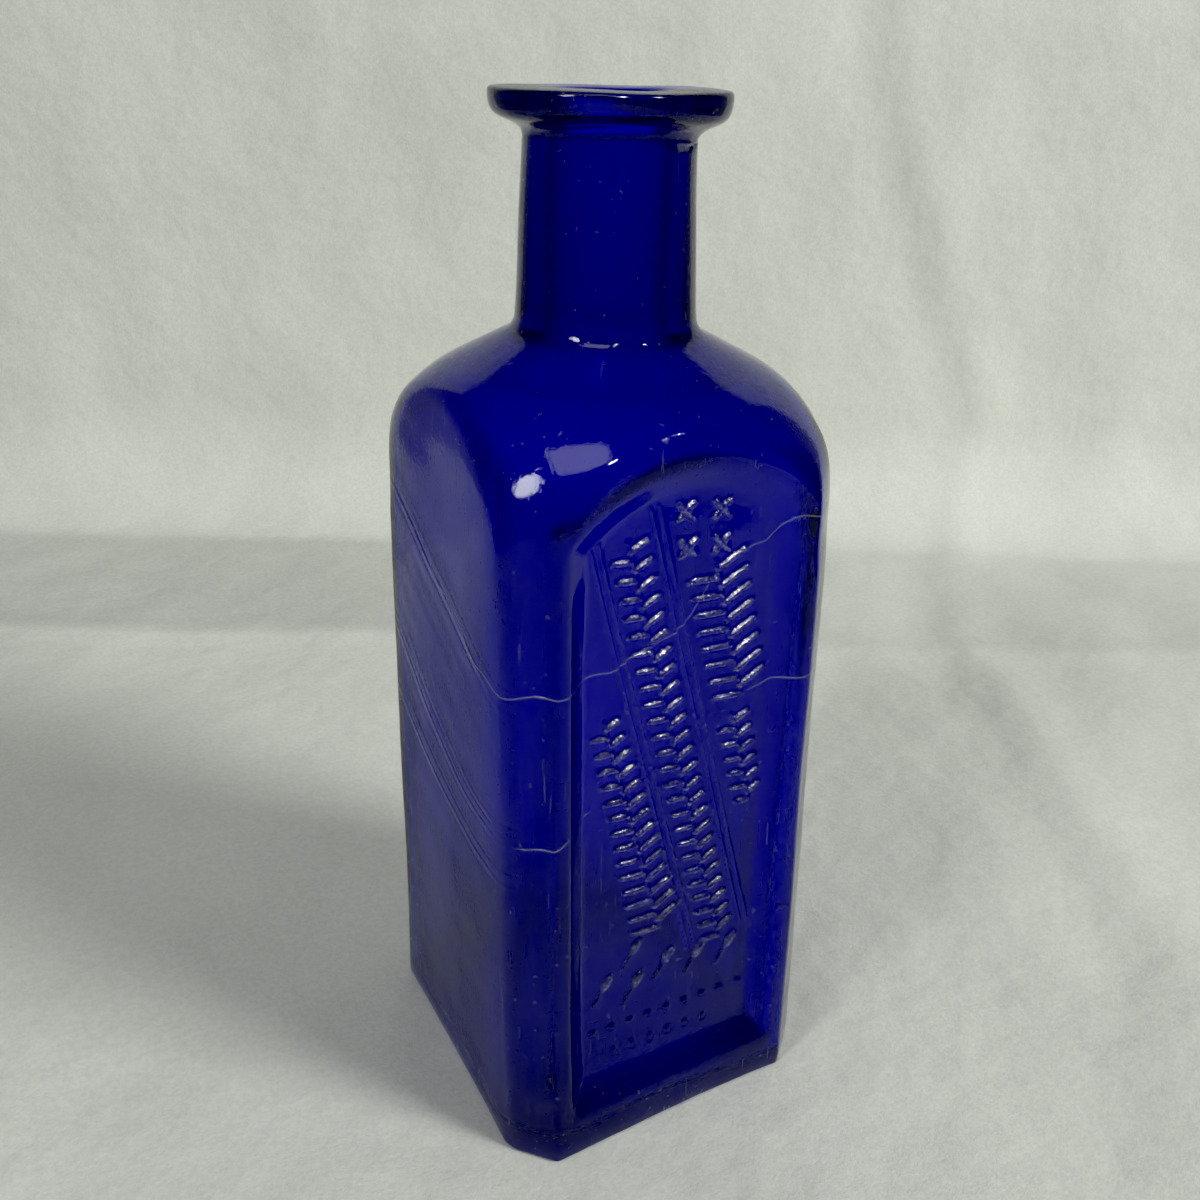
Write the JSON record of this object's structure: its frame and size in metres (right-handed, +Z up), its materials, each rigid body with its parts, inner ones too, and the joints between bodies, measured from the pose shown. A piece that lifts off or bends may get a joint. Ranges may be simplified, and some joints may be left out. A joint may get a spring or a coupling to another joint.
{
  "type": "glass bottle",
  "caption": "Square chemist's bottle in moulded cobalt glass, with chamfered corners, an arched sunken panel, a domed shoulder, a drawn neck and a tooled flat lip.",
  "frame": {"origin": "centre of the foot, on the surface that the bottle stands on", "axes": "+Z up through the mouth, -Y out of the panelled front face, +X to the right of someone who faces that panel"},
  "size_m": [0.06, 0.062, 0.17],
  "materials": {
    "cobalt_glass": "glossy, lightly worn"
  },
  "bodies": {
    "root": {"foot": "cobalt_glass", "body": "cobalt_glass", "panel_ornament": "cobalt_glass", "shoulder": "cobalt_glass", "neck": "cobalt_glass", "lip": "cobalt_glass"}
  },
  "joints": []
}
